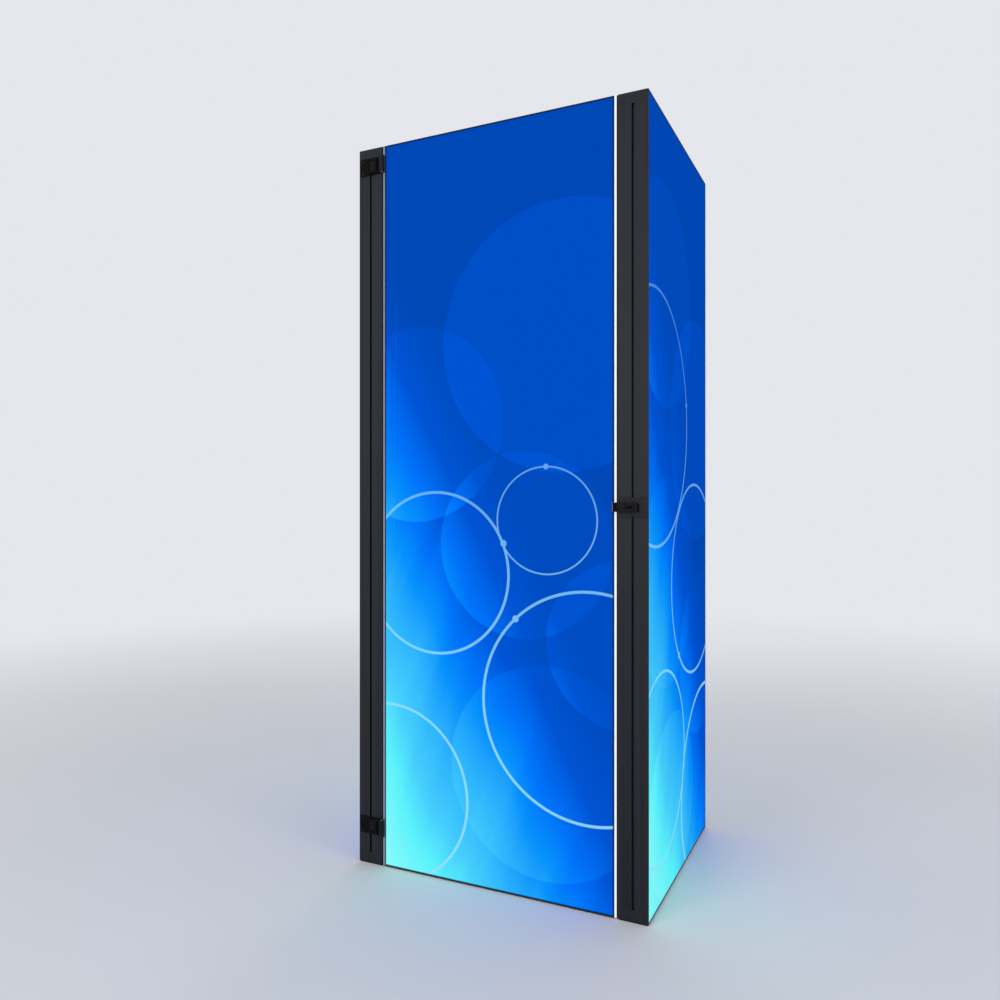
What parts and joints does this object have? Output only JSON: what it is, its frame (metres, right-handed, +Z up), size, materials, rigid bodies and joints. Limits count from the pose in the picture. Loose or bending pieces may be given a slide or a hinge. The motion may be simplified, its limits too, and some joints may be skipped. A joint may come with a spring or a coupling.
{
  "type": "light-box storage tower",
  "caption": "Free-standing square tower of fabric-faced light-box panels on a slim dark frame, with one tall hinged door and a push-button catch.",
  "frame": {"origin": "middle of the footprint on the floor, with the hinge barrels and rear links counted in the footprint", "axes": "+Z up, -Y towards the door's front, +X to the right seen from the front"},
  "size_m": [1.04, 0.849, 2.5],
  "materials": {
    "frame": "satin graphite powder coat",
    "catch_plate": "satin graphite powder coat",
    "bracket": "satin black coating",
    "steel": "brushed",
    "tongue": "darkened, worn at its end",
    "casing": "fine matt texture",
    "button": "matt",
    "edge_strip": "satin white, glows from behind",
    "print": "backlit knitted polyester with a blue to cyan print",
    "liner": "plain pale knitted polyester",
    "light_bar": "pale base with a clear lens strip",
    "supply": "bare, satin",
    "lead": "matt black",
    "base_strip": "matt black"
  },
  "bodies": {
    "tower": {"left_panel_front_upright": "frame", "left_panel_front_light_bar": "light_bar", "left_panel_rear_upright": "frame", "left_panel_rear_light_bar": "light_bar", "left_panel_top_rail": "frame", "left_panel_bottom_rail": "frame", "left_panel_base_strip": "base_strip", "left_panel_outer_print": "print", "left_panel_inner_liner": "liner", "right_panel_front_upright": "frame", "right_panel_front_light_bar": "light_bar", "right_panel_rear_upright": "frame", "right_panel_rear_light_bar": "light_bar", "right_panel_top_rail": "frame", "right_panel_bottom_rail": "frame", "right_panel_base_strip": "base_strip", "right_panel_outer_print": "print", "right_panel_inner_liner": "liner", "rear_panel_left_upright": "frame", "rear_panel_left_light_bar": "light_bar", "rear_panel_right_upright": "frame", "rear_panel_right_light_bar": "light_bar", "rear_panel_top_rail": "frame", "rear_panel_bottom_rail": "frame", "rear_panel_base_strip": "base_strip", "rear_panel_outer_print": "print", "rear_panel_inner_liner": "liner", "power_inlet": "casing", "power_supply": "supply", "light_lead": "lead", "upper_hinge_bracket": "bracket", "upper_hinge_pin": "steel", "upper_left_rear_link": "bracket", "upper_right_rear_link": "bracket", "lower_hinge_bracket": "bracket", "lower_hinge_pin": "steel", "lower_left_rear_link": "bracket", "lower_right_rear_link": "bracket", "catch_plate": "catch_plate", "catch_casing": "casing", "catch_spring": "steel"},
    "door": {"door_hinge_upright": "frame", "door_hinge_light_bar": "light_bar", "door_latch_upright": "frame", "door_latch_light_bar": "light_bar", "door_top_rail": "frame", "door_bottom_rail": "frame", "door_base_strip": "base_strip", "door_outer_print": "print", "door_inner_liner": "liner", "door_hinge_edge_strip": "edge_strip", "door_latch_edge_strip": "edge_strip", "upper_hinge_leaf": "bracket", "lower_hinge_leaf": "bracket", "catch_tongue": "tongue"},
    "button": {"catch_button": "button"}
  },
  "joints": [
    {"name": "door_hinge", "type": "hinge", "parent": "tower", "child": "door", "pos_m": [-0.4187, -0.41555, 1.25], "axis": [0, 0, -1], "range_deg": [0, 170]},
    {"name": "catch_button_press", "type": "slide", "parent": "tower", "child": "button", "axis": [0, 1, 0], "range_m": [0, 0.002], "stiffness_N_per_m": 800, "springref_m": -0.001, "deforming": ["catch_spring"]}
  ]
}
